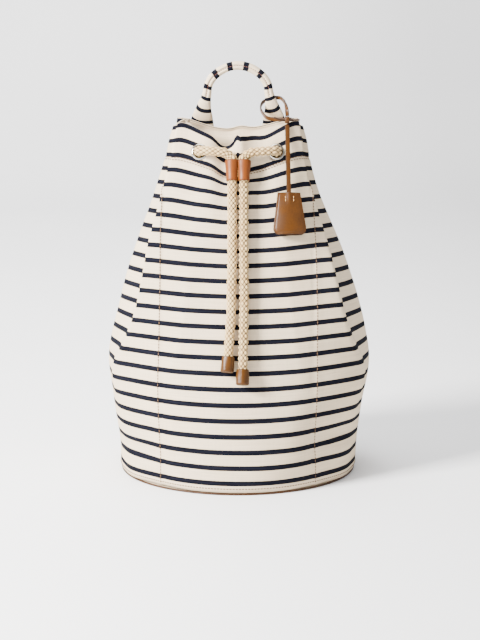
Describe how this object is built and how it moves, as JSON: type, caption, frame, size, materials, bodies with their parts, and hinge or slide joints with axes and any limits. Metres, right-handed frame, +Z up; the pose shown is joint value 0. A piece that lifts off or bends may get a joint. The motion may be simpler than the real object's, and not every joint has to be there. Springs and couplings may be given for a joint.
{
  "type": "drawstring bucket bag",
  "caption": "Round-based canvas bucket bag with a rope-cinched mouth, a leather cord slider, a rolled top handle and a hanging leather key bell.",
  "frame": {"origin": "centre of the round base, on the floor", "axes": "+Z up, -Y towards the front with the cord tails, +X to the right of someone facing the front"},
  "size_m": [0.33, 0.3042, 0.5145],
  "materials": {
    "striped_canvas": "cream cotton canvas with woven navy stripes",
    "plain_canvas": "cream cotton canvas",
    "base_card": "grey-brown fibre board",
    "piping_leather": "smooth brown leather",
    "eyelet_metal": "pale polished nickel",
    "ring_metal": "polished nickel wire",
    "rope": "braided natural cotton rope",
    "slider_leather": "light orange-tan vegetable-tanned leather",
    "cap_leather": "tan leather wrapped round the rope's end",
    "strap_leather": "tan vegetable-tanned leather with a soft sheen"
  },
  "bodies": {
    "bag": {"front_panel": "striped_canvas", "back_panel": "striped_canvas", "side_panel_right": "striped_canvas", "side_panel_left": "striped_canvas", "eyelet_left": "eyelet_metal", "eyelet_washer_left": "eyelet_metal", "eyelet_right": "eyelet_metal", "eyelet_washer_right": "eyelet_metal", "base_panel": "plain_canvas", "base_board": "base_card", "base_piping": "piping_leather", "hem_facing": "plain_canvas", "drawcord_in_hem": "rope", "rope_tail_left": "rope", "rope_tail_right": "rope", "end_cap_left": "cap_leather", "end_cap_right": "cap_leather", "handle_foot_left": "striped_canvas", "handle_foot_right": "striped_canvas", "key_loop": "strap_leather", "key_loop_tail": "strap_leather"},
    "slider": {"cord_slider": "slider_leather"},
    "handle": {"handle_grip": "striped_canvas"},
    "strap_pivot": {"strap_eye": "strap_leather"},
    "strap": {"key_strap": "strap_leather", "key_ring": "ring_metal"},
    "bell": {"bell_front": "strap_leather", "bell_back": "strap_leather"}
  },
  "joints": [
    {"name": "slider_on_tails", "type": "slide", "parent": "bag", "child": "slider", "axis": [0, -0.3547, -0.935], "range_m": [0, 0.1]},
    {"name": "handle_fold", "type": "hinge", "parent": "bag", "child": "handle", "pos_m": [0, 0.028, 0.478], "axis": [1, 0, 0], "range_deg": [-70, 70]},
    {"name": "strap_lift", "type": "hinge", "parent": "bag", "child": "strap_pivot", "pos_m": [0.0605, -0.0355, 0.446], "axis": [-1, 0, 0], "range_deg": [0, 60]},
    {"name": "strap_swing", "type": "hinge", "parent": "strap_pivot", "child": "strap", "pos_m": [0.0605, -0.0355, 0.43835], "axis": [0.1166, -0.9333, 0.3396], "range_deg": [-6, 45]},
    {"name": "bell_up_strap", "type": "slide", "parent": "strap", "child": "bell", "axis": [-0.0205, 0.3396, 0.9403], "range_m": [0, 0.045]}
  ]
}
